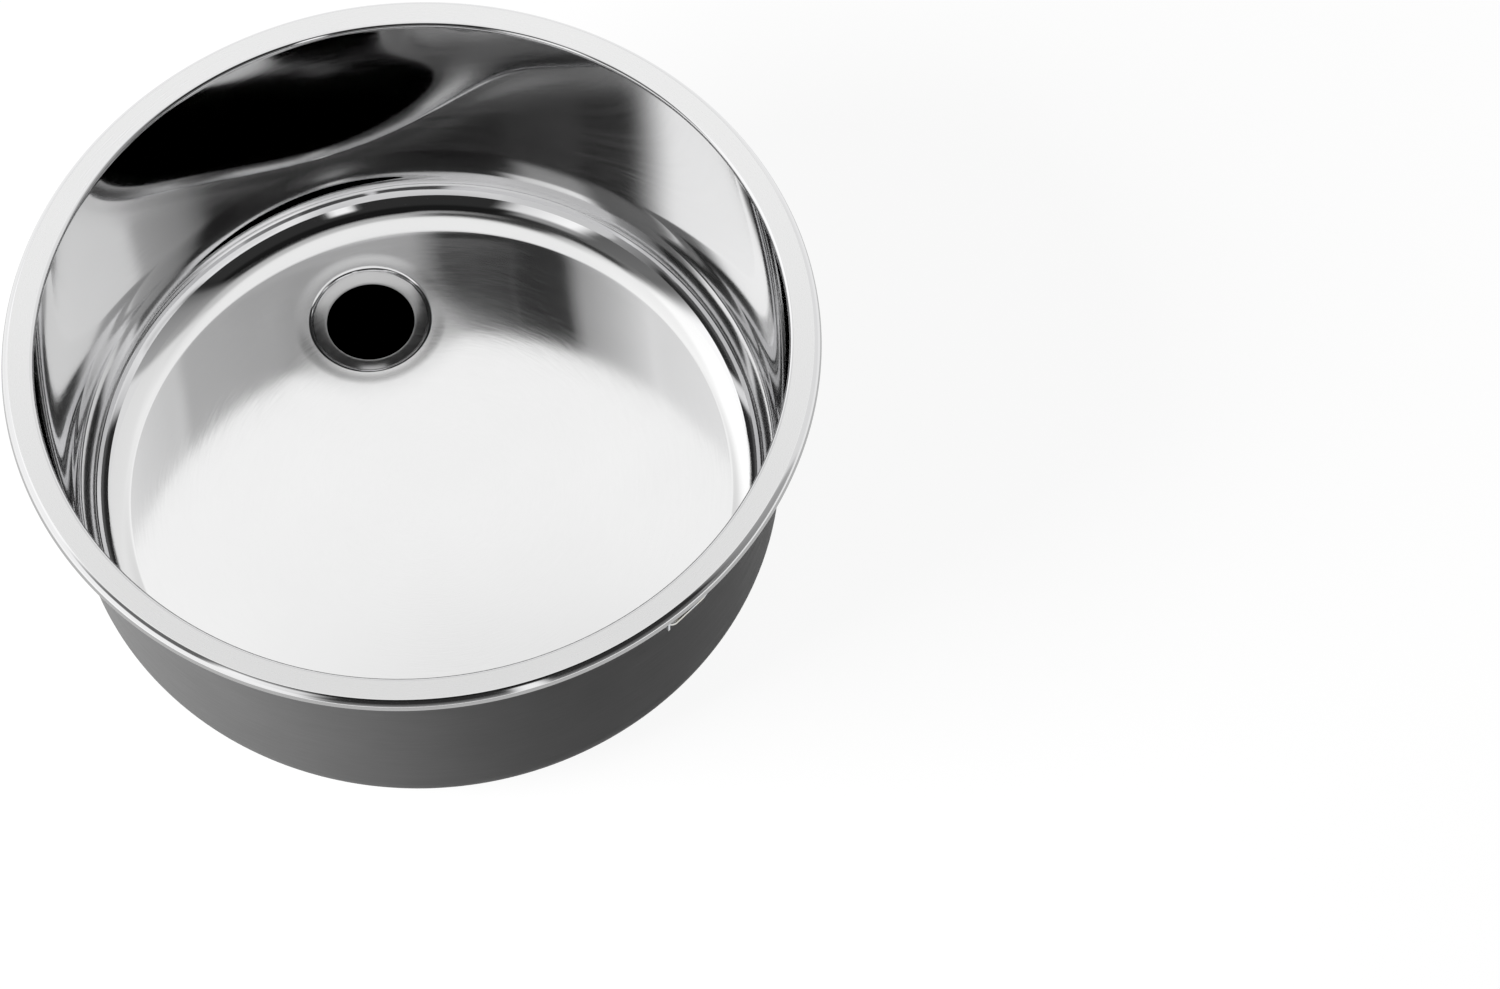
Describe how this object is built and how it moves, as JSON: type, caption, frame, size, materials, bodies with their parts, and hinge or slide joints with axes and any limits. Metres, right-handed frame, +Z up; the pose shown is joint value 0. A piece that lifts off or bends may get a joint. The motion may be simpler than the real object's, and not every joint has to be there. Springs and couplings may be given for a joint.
{
  "type": "round sink bowl",
  "caption": "Round inset sink bowl in pressed stainless steel with an off-centre drain hole, a rolled rim and swinging screw clamps under the rim.",
  "frame": {"origin": "on the bowl's axis, level with the underside of the drain's seat", "axes": "+Z up along the bowl's axis, +Y from the axis to the drain, +X to the right seen with the drain at the back"},
  "size_m": [0.4398, 0.4396, 0.1785],
  "materials": {
    "stainless": "polished wall, satin flange and floor, dull outside",
    "zinc_steel": "bright zinc plate",
    "foam": "closed-cell foam",
    "bitumen": "matte damping sheet"
  },
  "bodies": {
    "base": {"bowl_shell": "stainless", "rim_seal": "foam", "sound_pad": "bitumen", "earth_tag": "zinc_steel", "weld_nuts": "zinc_steel", "bracket_right": "zinc_steel", "bracket_back": "zinc_steel", "bracket_left": "zinc_steel", "bracket_front": "zinc_steel"},
    "collar_right": {"collar_right": "zinc_steel"},
    "claw_right": {"claw_right": "zinc_steel"},
    "screw_right": {"screw_right": "zinc_steel"},
    "collar_back": {"collar_back": "zinc_steel"},
    "claw_back": {"claw_back": "zinc_steel"},
    "screw_back": {"screw_back": "zinc_steel"},
    "collar_left": {"collar_left": "zinc_steel"},
    "claw_left": {"claw_left": "zinc_steel"},
    "screw_left": {"screw_left": "zinc_steel"},
    "collar_front": {"collar_front": "zinc_steel"},
    "claw_front": {"claw_front": "zinc_steel"},
    "screw_front": {"screw_front": "zinc_steel"}
  },
  "joints": [
    {"name": "lift_right", "type": "slide", "parent": "base", "child": "collar_right", "axis": [0, 0, 1], "range_m": [-0.014, 0.001]},
    {"name": "swing_right", "type": "hinge", "parent": "collar_right", "child": "claw_right", "pos_m": [0.19164, 0.07938, 0.1472], "axis": [0, 0, -1], "range_deg": [0, 94]},
    {"name": "turn_right", "type": "hinge", "parent": "collar_right", "child": "screw_right", "pos_m": [0.19164, 0.07938, 0.14365], "axis": [0, 0, 1], "continuous": true},
    {"name": "lift_back", "type": "slide", "parent": "base", "child": "collar_back", "axis": [0, 0, 1], "range_m": [-0.014, 0.001]},
    {"name": "swing_back", "type": "hinge", "parent": "collar_back", "child": "claw_back", "pos_m": [-0.07938, 0.19164, 0.1472], "axis": [0, 0, -1], "range_deg": [0, 94]},
    {"name": "turn_back", "type": "hinge", "parent": "collar_back", "child": "screw_back", "pos_m": [-0.07938, 0.19164, 0.14365], "axis": [0, 0, 1], "continuous": true},
    {"name": "lift_left", "type": "slide", "parent": "base", "child": "collar_left", "axis": [0, 0, 1], "range_m": [-0.014, 0.001]},
    {"name": "swing_left", "type": "hinge", "parent": "collar_left", "child": "claw_left", "pos_m": [-0.19164, -0.07938, 0.1472], "axis": [0, 0, -1], "range_deg": [0, 94]},
    {"name": "turn_left", "type": "hinge", "parent": "collar_left", "child": "screw_left", "pos_m": [-0.19164, -0.07938, 0.14365], "axis": [0, 0, 1], "continuous": true},
    {"name": "lift_front", "type": "slide", "parent": "base", "child": "collar_front", "axis": [0, 0, 1], "range_m": [-0.014, 0.001]},
    {"name": "swing_front", "type": "hinge", "parent": "collar_front", "child": "claw_front", "pos_m": [0.07938, -0.19164, 0.1472], "axis": [0, 0, -1], "range_deg": [0, 94]},
    {"name": "turn_front", "type": "hinge", "parent": "collar_front", "child": "screw_front", "pos_m": [0.07938, -0.19164, 0.14365], "axis": [0, 0, 1], "continuous": true}
  ],
  "couplings": [
    {"joint": "turn_right", "follows": "lift_right", "rad_per_m": 8976},
    {"joint": "turn_back", "follows": "lift_back", "rad_per_m": 8976},
    {"joint": "turn_left", "follows": "lift_left", "rad_per_m": 8976},
    {"joint": "turn_front", "follows": "lift_front", "rad_per_m": 8976}
  ]
}
